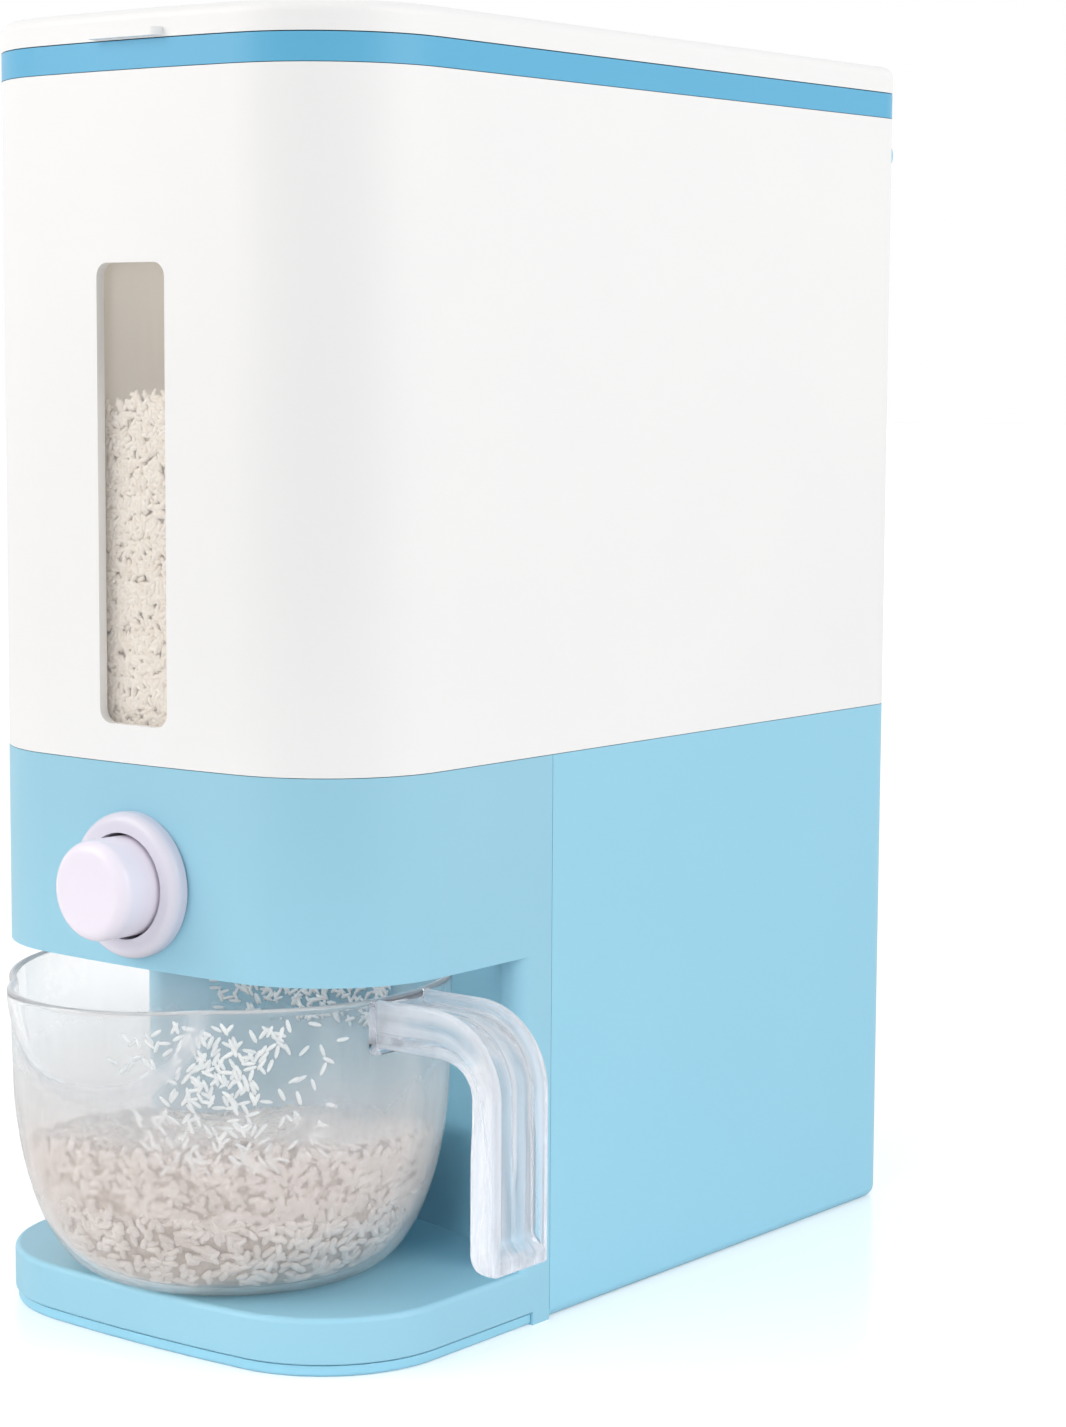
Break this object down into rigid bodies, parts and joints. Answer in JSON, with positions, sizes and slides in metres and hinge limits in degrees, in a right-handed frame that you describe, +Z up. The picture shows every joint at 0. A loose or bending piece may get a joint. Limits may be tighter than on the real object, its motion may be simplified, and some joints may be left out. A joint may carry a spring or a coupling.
{
  "type": "rice dispenser",
  "caption": "Upright kitchen rice dispenser: hopper with window and hinged lid over a push-button gate and an open bay that holds a clear measuring cup.",
  "frame": {"origin": "on the worktop, under the middle of the body's width and of its straight sides", "axes": "+X to the right seen from the front, +Y to the back, +Z up"},
  "size_m": [0.1806, 0.3171, 0.3685],
  "materials": {
    "white_plastic": "satin moulded",
    "blue_plastic": "satin moulded",
    "clear_plastic": "clear polished",
    "window_plastic": "clear polished",
    "steel": "plated",
    "foot_rubber": "matt",
    "seal_rubber": "matt"
  },
  "bodies": {
    "housing": {"hopper": "white_plastic", "window_pane": "window_plastic", "hopper_funnel": "white_plastic", "top_ring": "blue_plastic", "front_housing": "blue_plastic", "base_shell": "blue_plastic", "base_plate": "blue_plastic", "base_screws": "steel", "gate_frame": "white_plastic", "gate_screws": "steel", "outlet_chute": "white_plastic", "button_flange": "white_plastic", "hinge_screws": "steel", "hinge_bracket_left": "blue_plastic", "hinge_bracket_right": "blue_plastic", "hinge_pin_left": "steel", "hinge_pin_right": "steel", "foot_front_left": "foot_rubber", "foot_front_right": "foot_rubber", "foot_rear_left": "foot_rubber", "foot_rear_right": "foot_rubber"},
    "lid": {"lid": "white_plastic", "lid_seal": "seal_rubber"},
    "button": {"button_cap": "white_plastic", "push_rod": "white_plastic", "retaining_clip": "steel", "rod_pin": "steel", "shutter_plate": "white_plastic", "return_spring": "steel"},
    "cup": {"measuring_cup": "clear_plastic", "cup_handle": "clear_plastic"}
  },
  "joints": [
    {"name": "lid_hinge", "type": "hinge", "parent": "housing", "child": "lid", "pos_m": [0, 0.1397, 0.3416], "axis": [-1, 0, 0], "range_deg": [0, 105]},
    {"name": "button_press", "type": "slide", "parent": "housing", "child": "button", "axis": [0, 1, 0], "range_m": [0, 0.01], "stiffness_N_per_m": 300, "springref_m": -0.01, "deforming": ["return_spring"]},
    {"name": "cup_slide", "type": "slide", "parent": "housing", "child": "cup", "axis": [0, -1, 0], "range_m": [0, 0.115]}
  ]
}
